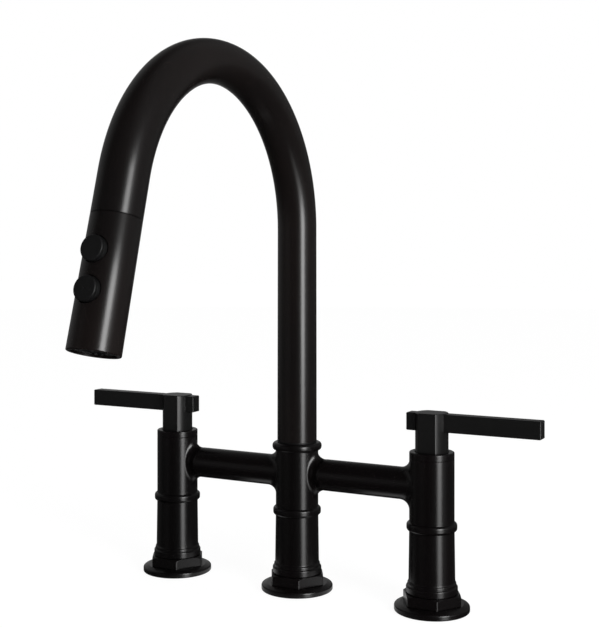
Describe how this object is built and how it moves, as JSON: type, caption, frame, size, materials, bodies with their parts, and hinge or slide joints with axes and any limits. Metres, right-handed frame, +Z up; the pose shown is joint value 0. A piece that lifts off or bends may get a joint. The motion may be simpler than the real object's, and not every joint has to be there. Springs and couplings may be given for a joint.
{
  "type": "kitchen faucet",
  "caption": "Bridge kitchen faucet in satin black: pedestal legs joined by a bridge, lever handles, a swivelling gooseneck spout and a pull-down spray head with buttons.",
  "frame": {"origin": "axis of the centre leg in the plane of the deck", "axes": "+Z up, +X along the bridge towards the right handle, the spout reaches towards -Y, where the user stands"},
  "size_m": [0.3536, 0.2682, 0.4447],
  "materials": {
    "satin_black": "satin black coating on brass, slightly warm",
    "matt_black": "matt black coating on zinc",
    "black_plastic": "matt black moulded plastic",
    "brass": "raw turned brass",
    "rubber": "black rubber",
    "nylon": "natural nylon",
    "steel": "plain stainless steel",
    "braid": "grey nylon braid over a rubber hose",
    "ceramic": "polished white ceramic"
  },
  "bodies": {
    "base": {"left_flange": "satin_black", "left_hex_collar": "satin_black", "left_leg": "satin_black", "left_shank": "brass", "centre_flange": "satin_black", "centre_hex_collar": "satin_black", "centre_leg": "satin_black", "centre_shank": "brass", "right_flange": "satin_black", "right_hex_collar": "satin_black", "right_leg": "satin_black", "right_shank": "brass", "left_valve_body": "satin_black", "left_bridge_tube": "satin_black", "left_cartridge": "brass", "left_bonnet": "satin_black", "right_valve_body": "satin_black", "right_bridge_tube": "satin_black", "right_cartridge": "brass", "right_bonnet": "satin_black", "centre_body": "satin_black", "deck_gaskets": "rubber", "seat_seals": "rubber", "centre_core": "brass", "downpipe": "brass", "glide_ring": "black_plastic", "retaining_screw": "steel"},
    "spout": {"spout_tube": "satin_black", "spout_journal": "brass", "journal_o_rings": "rubber", "dock_sleeve": "nylon", "spray_hose": "braid", "hose_coupling": "steel"},
    "spray_head": {"head_shell": "satin_black", "dock_neck": "black_plastic", "hose_nut": "brass", "check_valve": "nylon", "spray_core": "black_plastic", "spray_face": "black_plastic", "nozzle_mat": "rubber", "aerator": "nylon", "upper_button_spring": "steel", "lower_button_spring": "steel"},
    "upper_button": {"upper_button": "black_plastic", "upper_spool": "nylon"},
    "lower_button": {"lower_button": "black_plastic", "lower_spool": "nylon"},
    "left_handle": {"left_post": "matt_black", "left_bar": "matt_black", "left_stem": "brass", "left_valve_disc": "ceramic", "left_set_screw": "steel"},
    "right_handle": {"right_post": "matt_black", "right_bar": "matt_black", "right_stem": "brass", "right_valve_disc": "ceramic", "right_set_screw": "steel"}
  },
  "joints": [
    {"name": "spout_swivel", "type": "hinge", "parent": "base", "child": "spout", "pos_m": [0, 0, 0.104], "axis": [0, 0, 1], "continuous": true},
    {"name": "spray_pull", "type": "slide", "parent": "spout", "child": "spray_head", "axis": [0, -0.2644, -0.9644], "range_m": [0, 0.15], "stiffness_N_per_m": 10, "springref_m": -0.6, "deforming": ["spray_hose"]},
    {"name": "upper_button_press", "type": "slide", "parent": "spray_head", "child": "upper_button", "axis": [0, 0.9644, -0.2644], "range_m": [0, 0.0014], "stiffness_N_per_m": 1500, "springref_m": -0.0008, "deforming": ["upper_button_spring"]},
    {"name": "lower_button_press", "type": "slide", "parent": "spray_head", "child": "lower_button", "axis": [0, 0.9644, -0.2644], "range_m": [0, 0.0014], "stiffness_N_per_m": 1500, "springref_m": -0.0008, "deforming": ["lower_button_spring"]},
    {"name": "left_handle_turn", "type": "hinge", "parent": "base", "child": "left_handle", "pos_m": [-0.1016, 0, 0.1105], "axis": [0, 0, 1], "range_deg": [0, 90]},
    {"name": "right_handle_turn", "type": "hinge", "parent": "base", "child": "right_handle", "pos_m": [0.1016, 0, 0.1105], "axis": [0, 0, 1], "range_deg": [-90, 0]}
  ]
}
